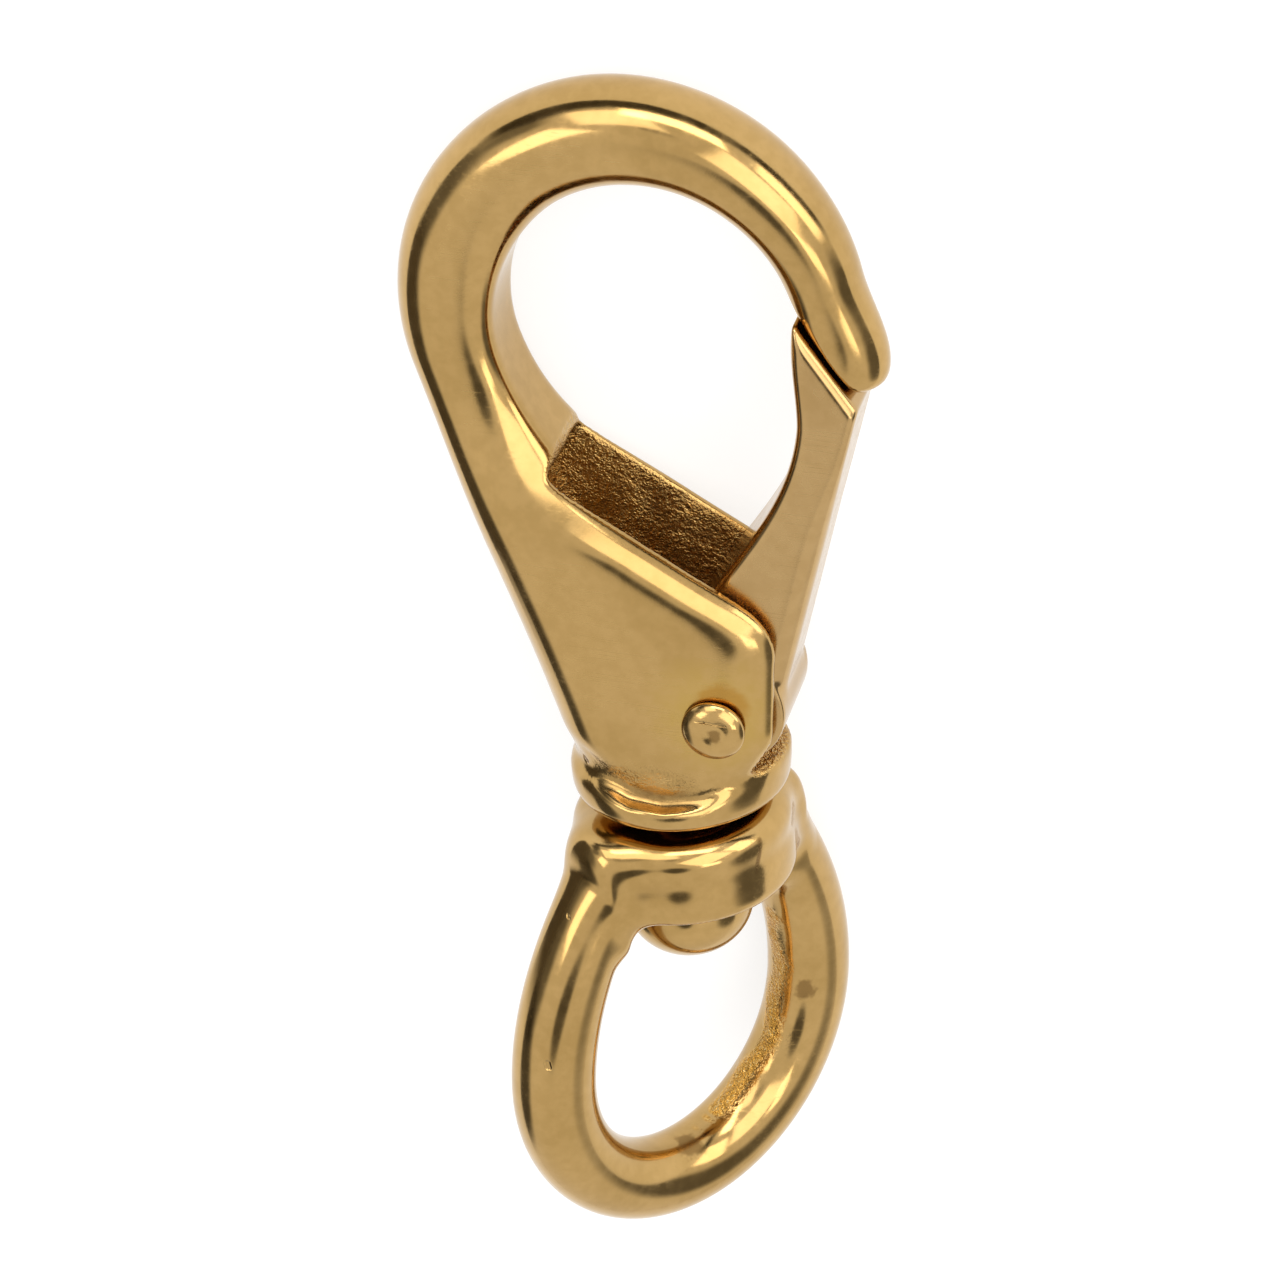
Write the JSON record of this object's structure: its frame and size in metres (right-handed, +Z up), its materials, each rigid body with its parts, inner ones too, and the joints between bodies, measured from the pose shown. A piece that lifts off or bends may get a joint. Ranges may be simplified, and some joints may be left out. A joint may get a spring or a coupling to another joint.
{
  "type": "swivel snap hook",
  "caption": "Cast bronze snap hook with a sprung gate riveted between two cheeks and a D-shaped eye that swivels on a headed shank.",
  "frame": {"origin": "centre of the footprint, on the surface that the hook lies on", "axes": "+Y from the eye to the top of the loop, +X towards the gate, +Z up, out of the front face. The hook leans 8.5 degrees, because it lies on the back of its loop and on the lower limb of its turned eye"},
  "size_m": [0.0342, 0.0926, 0.0236],
  "materials": {
    "bronze_casting": "polished casting",
    "bronze_eye": "polished casting",
    "bronze_gate": "polished casting",
    "bronze_rivet": "hammered heads",
    "spring_wire": "bright drawn wire"
  },
  "bodies": {
    "hook": {"hook_body": "bronze_casting", "gate_rivet": "bronze_rivet", "gate_spring": "spring_wire"},
    "gate": {"gate": "bronze_gate"},
    "eye": {"swivel_eye": "bronze_eye"}
  },
  "joints": [
    {"name": "gate_hinge", "type": "hinge", "parent": "hook", "child": "gate", "pos_m": [0.00638, 0.00081, 0.00926], "axis": [-0.1102, 0.0981, 0.9891], "range_deg": [0, 32], "stiffness_Nm_per_rad": 0.12, "springref_deg": -45.84, "deforming": ["gate_spring"]},
    {"name": "eye_swivel", "type": "hinge", "parent": "hook", "child": "eye", "pos_m": [0.00265, -0.01252, 0.01016], "axis": [-0.0546, 0.993, -0.1046], "continuous": true}
  ]
}
